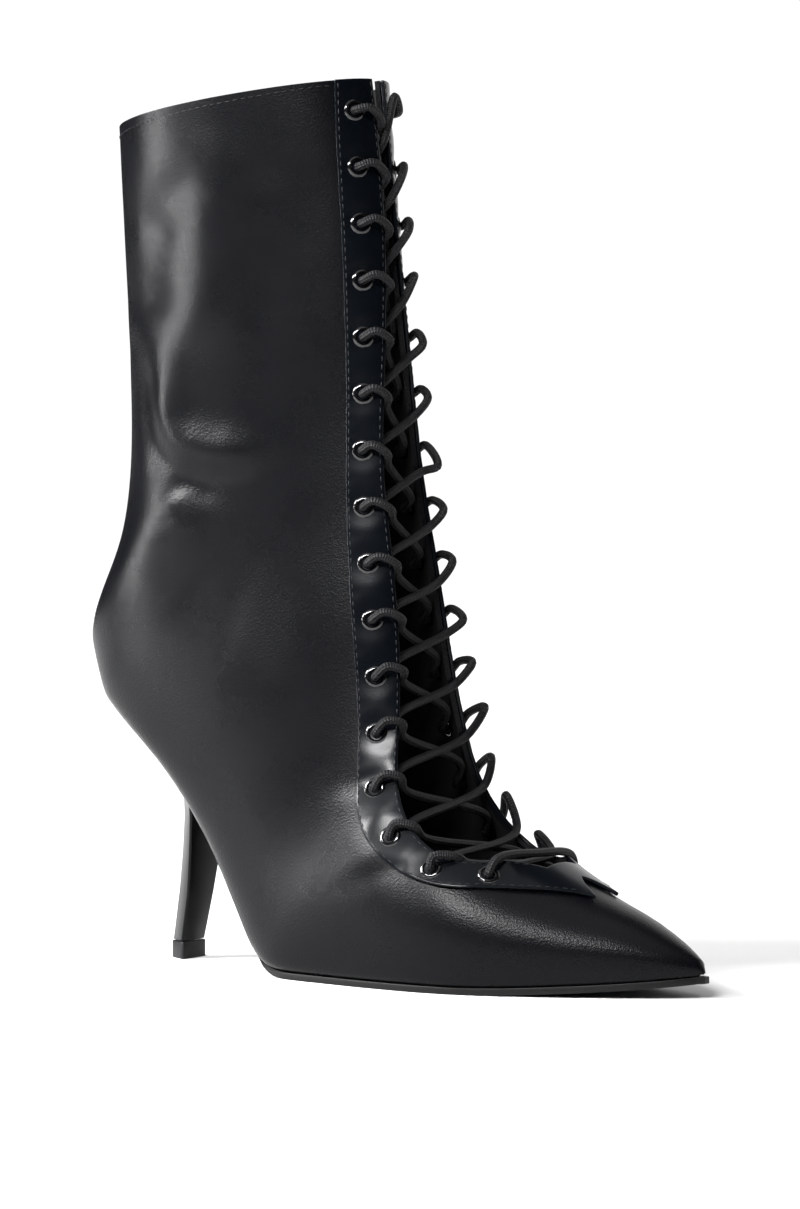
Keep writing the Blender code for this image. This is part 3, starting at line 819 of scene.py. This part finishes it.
def make_eyelets():
    master = turned_ring("eyelet_master")
    for label, side in (("near", NEAR), ("far", FAR)):
        for number, t in enumerate(EYELETS[side], 1):
            here, out, _, up = surface_frame(t, side, eyelet_inset(t))
            shift = crease_at(here) - DIMPLE_DEPTH
            mesh = master.data.copy()
            mesh.transform(turned_to(here + out * shift, out, up))
            ring = bpy.data.objects.new(f"eyelet_{label}_{number:02d}_fine", mesh)
            bpy.context.scene.collection.objects.link(ring)
            smooth_shading(ring, 40)
            dress(ring, enamel_look, "eyelet_enamel", f"eyelet_{label}_{number:02d}")
    bpy.data.objects.remove(master)


make_eyelets()
print("eyelets made:", 2 * EYELET_COUNT)

# %% [markdown]
# ## The lace
# One lace runs from the left top eyelet to the right one. Its middle is the bar between the two front
# eyelets. From there each end goes in at one eyelet, crosses behind to the other side, comes over the
# edge of the facing with a slack loop, and goes in again from outside. The table gives, for each pair of
# eyelets, how far the loop stands off the far edge and how far it hangs below its eyelet. On the near
# side all loops are small and alike. A route that is worked out from the eyelets follows them when a
# section of the last changes.

# %% Route the lace
Loop = namedtuple("Loop", "stand_off drop")
FAR_LOOPS = (
    Loop(3.4, -4),
    Loop(3.2, 5.5),
    Loop(4.0, 5.5),
    Loop(4.0, 3),
    Loop(4.6, 7),
    Loop(4.4, 6),
    Loop(5.4, 10),
    Loop(5.2, 6),
    Loop(5.4, 5),
    Loop(6.0, 7),
    Loop(7.0, 4),
    Loop(8.6, 2),
    Loop(6.2, 1),
    Loop(5.4, -4),
    Loop(5.4, -5),
)
NEAR_LOOP = Loop(1.2, 5.0)
Lip = namedtuple("Lip", "drop lift")
FAR_LIP = Lip(12.0, 0.8)
NEAR_LIP = Lip(9.0, -2.6)
LIP_OVERHANG = 2.4
LOOP_WAY = np.array((1.0, 0.0, 0.12))
BAR_RISE = np.array((1.0, 0.0, 1.6))
HIDDEN_END = 5.0
OVER = FLANGE_TOP + LACE_RADIUS
UNDER = -(WALL + LACE_RADIUS)
IN_THE_BORE = -0.5
ROUTE_STEP = 0.9
STEPS_PER_POINT = 24


def toward_floor(t, side, millimetres):
    """The place t that lies this many millimetres further down the throat."""
    step = 0.05
    here = surface_point(t, side, 0)
    lower = surface_point(t - step, side, 0)
    return t - step * millimetres / np.linalg.norm(lower - here)


def strand_points(number, from_side):
    """Control points from inside eyelet number + 1 of one side to inside eyelet number of the other."""
    to_side = -from_side
    low, high = EYELETS[from_side][number], EYELETS[to_side][number - 1]
    loop = FAR_LOOPS[number - 1] if to_side == FAR else NEAR_LOOP
    edge = FAR_LIP if to_side == FAR else NEAR_LIP
    inset_low, inset_high = eyelet_inset(low), eyelet_inset(high)
    leave = outside(low, from_side, inset_low, UNDER - 1.5)
    behind = outside(low, from_side, 1.0, UNDER - 0.8)
    lip = outside(toward_floor(high, to_side, edge.drop), to_side, -LIP_OVERHANG, edge.lift)
    crest = outside(toward_floor(high, to_side, loop.drop), to_side, -0.2, OVER * 0.7)
    landing = outside(high, to_side, inset_high * 0.55, OVER + 1.6)
    bore_top = outside(high, to_side, inset_high, OVER - 0.6)
    bore = outside(high, to_side, inset_high, IN_THE_BORE)
    return [leave, behind, lip, crest + LOOP_WAY * loop.stand_off, landing, bore_top, bore]


def lace_half(first_side):
    """The route from the bar's end at the front eyelet of one side up to the top."""
    t = EYELETS[first_side][-1]
    inset = eyelet_inset(t)
    route = [outside(t, first_side, inset, lift) for lift in (OVER - 0.4, IN_THE_BORE)]
    side = first_side
    for number in range(EYELET_COUNT - 1, 0, -1):
        route += strand_points(number, side)
        side = -side
    top = EYELETS[side][0]
    route.append(outside(top, side, eyelet_inset(top), UNDER - 2.0))
    route.append(outside(top, side, eyelet_inset(top) + HIDDEN_END, UNDER - 0.5))
    return route


def bar_points():
    near, far = EYELETS[NEAR][-1], EYELETS[FAR][-1]
    ends = [outside(t, side, 2.0, OVER + 0.8) for side, t in ((NEAR, near), (FAR, far))]
    return [ends[0], (ends[0] + ends[1]) / 2 + BAR_RISE, ends[1]]


def rounded_route(points):
    """A smooth curve through the control points, with an even step in millimetres."""
    points = np.array(points)
    chords = np.linalg.norm(np.diff(points, axis=0), axis=1) ** 0.5
    knots = np.concatenate([[0], np.cumsum(chords)])
    tangents = np.gradient(points, knots, axis=0)
    fine = []
    for k in range(len(points) - 1):
        width = knots[k + 1] - knots[k]
        for share in np.linspace(0, 1, STEPS_PER_POINT, endpoint=False):
            s2, s3 = share * share, share * share * share
            fine.append(
                (2 * s3 - 3 * s2 + 1) * points[k]
                + (s3 - 2 * s2 + share) * width * tangents[k]
                + (3 * s2 - 2 * s3) * points[k + 1]
                + (s3 - s2) * width * tangents[k + 1]
            )
    fine = np.array(fine + [points[-1]])
    run = np.concatenate([[0], np.cumsum(np.linalg.norm(np.diff(fine, axis=0), axis=1))])
    even = np.linspace(0, run[-1], int(run[-1] / ROUTE_STEP) + 1)
    return np.column_stack([np.interp(even, run, fine[:, axis]) for axis in range(3)]), run[-1]


lace_route, lace_length = rounded_route(lace_half(NEAR)[::-1] + bar_points() + lace_half(FAR))
print("length of the lace in mm:", round(lace_length))

# %% Wrap the lace round its route
LACE_SIDES = 12


def cord_rings(route, radius):
    """Rings of points round a route, turned so that they don't twist."""
    ways = np.gradient(route, axis=0)
    ways /= np.linalg.norm(ways, axis=1, keepdims=True)
    side = np.cross(ways[0], (0.0, 0.0, 1.0))
    side /= np.linalg.norm(side)
    rings = []
    for here, way in zip(route, ways):
        side = side - way * np.dot(side, way)
        side /= np.linalg.norm(side)
        other = np.cross(way, side)
        turns = np.linspace(0, 2 * pi, LACE_SIDES + 1)
        rings.append([here + radius * (side * cos(a) + other * sin(a)) for a in turns])
    return np.array(rings)


def make_lace():
    piece = laid_grid("lace", cord_rings(lace_route, LACE_RADIUS))
    merge_doubles(piece, 0.01)
    edit_whole(piece, bpy.ops.mesh.fill_holes, sides=LACE_SIDES)
    face_outwards(piece)
    smooth_shading(piece, 60)
    crossings = [f"lace_cross_{k:02d}" for k in range(1, EYELET_COUNT)]
    return dress(piece, lace_finish(lace_length), "lace_cord", "lace_bar", *crossings)


lace = make_lace()
print("faces of the lace:", len(lace.data.polygons))

# %% [markdown]
# ## The bottom
# The outsole is a thin unit from the toe to the breast of the heel, with its edge rounded and inked. It
# is a hair wider than the upper under the tread and tucked in under the waist. The heel is a slim faceted
# block, covered in the same leather, on a hard top piece.

# %% Outsole
OUTSOLE_THICKNESS = 2.4
OUTSOLE_MARGIN = 0.9
OUTSOLE_ROUNDING = 0.55
OUTSOLE_TUCK = 5.0
OUTSOLE_CELLS = 12
OUTSOLE_TIP_REACH = 0.6
OUTSOLE_TIP_RISE = 0.1
OUTSOLE_TIP_HALF_WIDTH = 1.5
TREAD_END = 8
TUCK_END = 9.5
CLEARANCE = 0.3
BREAST_X = 11.5


def sole_row(t):
    section = section_at(t)
    outset = np.interp(t, (TREAD_END, TUCK_END), (OUTSOLE_MARGIN, -OUTSOLE_TUCK))
    low = -(section.sole_lateral + outset)
    high = section.sole_medial + outset
    across = np.linspace(low, high, OUTSOLE_CELLS + 1)
    return [(section.back_x, y, section.back_z - CLEARANCE) for y in across]


def make_outsole():
    places = [t for t in np.arange(0, SEAT_BACK, 0.1) if section_at(t).back_x > BREAST_X + CLEARANCE]
    rows = [sole_row(t) for t in places]
    tip_height = rows[0][0][2] + OUTSOLE_TIP_RISE
    tip_across = np.linspace(-OUTSOLE_TIP_HALF_WIDTH, OUTSOLE_TIP_HALF_WIDTH, OUTSOLE_CELLS + 1)
    tip = [(TOE_POLE[0] + OUTSOLE_TIP_REACH, y, tip_height) for y in tip_across]
    piece = laid_grid("outsole_fine", np.array([tip] + rows))
    upward = sum(face.normal.z for face in piece.data.polygons)
    if upward > 0:
        edit_whole(piece, bpy.ops.mesh.flip_normals)
    apply_modifier(piece, "SOLIDIFY", thickness=OUTSOLE_THICKNESS * MM, offset=1)
    round_edges(piece, OUTSOLE_ROUNDING, 3, 1.0)
    smooth_shading(piece, 50)
    return dress(piece, sole_look, "outsole_rubber", "outsole")


outsole = make_outsole()
print("faces of the outsole:", len(outsole.data.polygons))

# %% Heel and top piece


def softened_copy(name, node, width, segments, look, slot):
    """A copy of a solid with its loose triangles joined and its edges rounded."""
    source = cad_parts[node]
    piece = source.copy()
    piece.data = source.data.copy()
    piece.parent = None
    piece.name = name
    for key in list(piece.keys()):
        del piece[key]
    bpy.context.scene.collection.objects.link(piece)
    merge_doubles(piece, 0.01)
    edit_whole(piece, bpy.ops.mesh.dissolve_limited, angle_limit=0.02)
    round_edges(piece, width, segments, 0.35)
    smooth_shading(piece, 30)
    piece.data.materials.clear()
    return dress(piece, look, slot, node)


heel = softened_copy("heel_fine", "heel", 0.6, 3, heel_look, "heel_cover")
top_piece = softened_copy("heel_tip_fine", "heel_tip", 0.35, 2, tip_look, "top_piece")
insole = softened_copy("insole_fine", "insole", 0.3, 1, lining_look, "insole_board")
print("faces of the heel:", len(heel.data.polygons))

# %% [markdown]
# ## Stitches
# A row of stitches runs a millimetre inside the facing's edges and round the collar. Each stitch is a
# small bead of thread that sinks into the leather at both ends. One bead is modelled, copied along the
# lines, and the copies are joined into one piece, as one thread runs through them all.

# %% Sew the rows
STITCH_LENGTH = 2.1
STITCH_GAP = 0.9
STITCH_THICK = 0.42
STITCH_LIFT = 0.04
COLLAR_STITCH_LIFT = 0.06
COLLAR_STITCH_DROP = 0.12
COLLAR_LINE_MARGINS = (0.8, 0.5)
COLLAR_LINE_PLACES = 60
OUTER_INSET = 1.2
INNER_INSET = 1.2
LINE_MARGIN = 1.5
LOOK_AHEAD = 0.5
LINE_PLACES = 260


def thread_bead():
    deselect_all()
    bpy.ops.mesh.primitive_uv_sphere_add(segments=6, ring_count=5, radius=0.5, calc_uvs=False)
    bead = bpy.context.object
    bead.data.transform(Matrix.Diagonal((STITCH_LENGTH * MM, STITCH_THICK * MM, STITCH_THICK * MM, 1)))
    return bead


def along_line(line, run, place):
    return np.array([np.interp(place, run, line[:, axis]) for axis in range(3)])


def stitch_homes(line, outs):
    """Places along a line of points, one for each stitch."""
    run = np.concatenate([[0], np.cumsum(np.linalg.norm(np.diff(line, axis=0), axis=1))])
    homes = []
    for middle in np.arange(LINE_MARGIN, run[-1] - LINE_MARGIN, STITCH_LENGTH + STITCH_GAP):
        here = along_line(line, run, middle)
        ahead = along_line(line, run, middle + LOOK_AHEAD)
        out = along_line(outs, run, middle)
        x = Vector(ahead - here).normalized()
        z = Vector(out - np.dot(out, x) * np.array(x)).normalized()
        turn = Matrix((x, z.cross(x), z)).transposed().to_4x4()
        homes.append(Matrix.Translation(Vector(here) * MM) @ turn)
    return homes


def surface_line(places, side, inset, lift):
    points, outs = [], []
    for t in places:
        here, out, _, _ = surface_frame(t, side, inset(t))
        points.append(here + out * (lift + crease_at(here)))
        outs.append(out)
    return np.array(points), np.array(outs)


def collar_line():
    points, outs = [], []
    t = COLLAR - COLLAR_STITCH_DROP
    for side in (NEAR, FAR):
        throat = placed_curve(t, side)[3]
        start = section_at(t).facing + COLLAR_LINE_MARGINS[0]
        stops = np.linspace(start, throat - COLLAR_LINE_MARGINS[1], COLLAR_LINE_PLACES)
        if side == FAR:
            stops = stops[::-1]
        for stop in stops:
            here, out, _, _ = surface_frame(t, side, stop)
            points.append(here + out * (COLLAR_STITCH_LIFT + crease_at(here)))
            outs.append(out)
    return np.array(points), np.array(outs)


def facing_lines(side):
    """The stitch lines just inside the outer and the inner edge of one half of the facing."""
    lift = FLANGE_TOP + STITCH_LIFT
    outer_places = np.linspace(COLLAR - 0.05, FACING_TIP + 0.2, LINE_PLACES)
    inner_places = np.linspace(COLLAR - 0.05, THROAT_END + 0.1, LINE_PLACES)
    outer = surface_line(outer_places, side, lambda t: section_at(t).facing - OUTER_INSET, lift)
    inner = surface_line(inner_places, side, lambda t: INNER_INSET, lift)
    return outer, inner


def make_stitches():
    lines = [*facing_lines(NEAR), *facing_lines(FAR), collar_line()]
    homes = [home for line in lines for home in stitch_homes(*line)]
    bead = thread_bead()
    copies = []
    for home in homes:
        stitch = bead.copy()
        stitch.data = bead.data.copy()
        stitch.matrix_world = home
        bpy.context.scene.collection.objects.link(stitch)
        copies.append(stitch)
    bpy.data.objects.remove(bead)
    bpy.context.view_layer.update()
    make_active(copies[0])
    for stitch in copies:
        stitch.select_set(True)
    bpy.ops.object.join()
    bpy.ops.object.transform_apply(location=True, rotation=True, scale=True)
    piece = bpy.context.object
    piece.name = "stitches"
    piece.data.name = "stitches"
    smooth_shading(piece, 60)
    print("stitches sewn:", len(homes))
    return dress(piece, thread_look, "upper_leather")


stitches = make_stitches()

# %% [markdown]
# ## The studio
# The photo has a white floor and a white background, and long soft highlights on the back of the shaft,
# on the heel and along the toe. A wide overhead bank lights the floor, three softboxes on the lateral
# side make one highlight each, and a dim bank behind lights the far edge. A black boot mirrors all that
# is round it, so the surround is white to the eye and almost dark in reflections. Far from the boot the
# floor glows a little, which keeps it white up to the horizon.

# %% Floor and surround
FLOOR_SIZE = 12.0
FLOOR_GREY = (0.6, 0.6, 0.6, 1)
FLOOR_GLOW_FROM = 0.5
FLOOR_GLOW_RISE = 0.5
FLOOR_GLOW = (0.80, 0.80, 0.80)
SURROUND_SEEN = 1.05
SURROUND_REFLECTED = 0.04


def make_floor():
    deselect_all()
    bpy.ops.mesh.primitive_plane_add(size=FLOOR_SIZE)
    floor = bpy.context.object
    floor.name = "floor"
    graph = Graph("floor_look")
    away = graph.node("ShaderNodeVectorMath", {"operation": "LENGTH"}, {0: graph.place()}, "Value")
    glow = ((away - FLOOR_GLOW_FROM) * FLOOR_GLOW_RISE).clamped()
    graph.set(
        Base_Color=FLOOR_GREY,
        Roughness=0.9,
        Emission_Color=graph.mixed(glow, (0, 0, 0), FLOOR_GLOW),
        Emission_Strength=1.0,
    )
    floor.data.materials.append(graph.material)
    return floor


def make_surround():
    """White behind the boot, but dim in its reflections, as in a studio with black flags round the set."""
    world = bpy.data.worlds.new("surround")
    world.use_nodes = True
    nodes, links = world.node_tree.nodes, world.node_tree.links
    background = nodes["Background"]
    background.inputs["Color"].default_value = (1.0, 1.0, 1.0, 1.0)
    seen = nodes.new("ShaderNodeLightPath")
    strength = nodes.new("ShaderNodeMapRange")
    strength.inputs["To Min"].default_value = SURROUND_REFLECTED
    strength.inputs["To Max"].default_value = SURROUND_SEEN
    links.new(seen.outputs["Is Camera Ray"], strength.inputs["Value"])
    links.new(strength.outputs["Result"], background.inputs["Strength"])
    bpy.context.scene.world = world


make_floor()
make_surround()
bpy.context.scene.view_settings.view_transform = "Standard"
print("floor and surround ready")

# %% Lights
OVERHEAD_STRENGTH = 1.4
OVERHEAD_SPREAD = 75 * pi / 180
OVERHEAD_TIP = (0.30, -0.12, 0.0)
Softbox = namedtuple("Softbox", "name where at wide high watts")
SOFTBOXES = (
    Softbox("shaft_softbox", (-0.84, -1.00, 1.00), (0.0, 0, 0.27), 0.60, 0.50, 92),
    Softbox("heel_softbox", (-1.09, -0.72, 0.30), (-0.02, 0, 0.14), 0.15, 0.30, 12),
    Softbox("toe_softbox", (0.28, -1.05, 0.86), (0.19, 0, 0.03), 0.60, 0.10, 30),
    Softbox("back_bank", (0.3, 1.60, 0.75), (0.10, 0, 0.15), 2.6, 1.3, 14),
)


def looking_turn(where, at):
    """The rotation of a lamp or camera at one place that looks at another."""
    return (Vector(at) - Vector(where)).to_track_quat("-Z", "Y").to_euler()


def make_overhead():
    """A very wide sun stands for the big overhead bank that keeps the whole floor white."""
    data = bpy.data.lights.new("overhead_bank", "SUN")
    data.energy = OVERHEAD_STRENGTH
    data.angle = OVERHEAD_SPREAD
    lamp = bpy.data.objects.new("overhead_bank", data)
    lamp.rotation_euler = OVERHEAD_TIP
    bpy.context.scene.collection.objects.link(lamp)


def make_softbox(box):
    data = bpy.data.lights.new(box.name, "AREA")
    data.shape = "RECTANGLE"
    data.size = box.wide
    data.size_y = box.high
    data.energy = box.watts
    lamp = bpy.data.objects.new(box.name, data)
    lamp.location = box.where
    lamp.rotation_euler = looking_turn(box.where, box.at)
    bpy.context.scene.collection.objects.link(lamp)


make_overhead()
for box in SOFTBOXES:
    make_softbox(box)
print("lights placed:", 1 + len(SOFTBOXES))

# %% [markdown]
# ## The camera
# The photo was taken from the front quarter, 34 degrees round from the boot's side, almost level, with a
# long lens.

# %% Place the camera
CAMERA_TURN = 34 * pi / 180
CAMERA_AWAY = 1.5
CAMERA_HEIGHT = 0.180
CAMERA_AIM = Vector((0.0921, 0.0, 0.1295))
LENS_MM = 128.04
SENSOR_MM = 36

camera_data = bpy.data.cameras.new("camera")
camera_data.lens = LENS_MM
camera_data.sensor_width = SENSOR_MM
camera = bpy.data.objects.new("camera", camera_data)
camera.location = (
    CAMERA_AIM.x + CAMERA_AWAY * sin(CAMERA_TURN),
    -CAMERA_AWAY * cos(CAMERA_TURN),
    CAMERA_HEIGHT,
)
camera.rotation_euler = looking_turn(camera.location, CAMERA_AIM)
bpy.context.scene.collection.objects.link(camera)
bpy.context.scene.camera = camera
print("camera at", [round(v, 3) for v in camera.location])
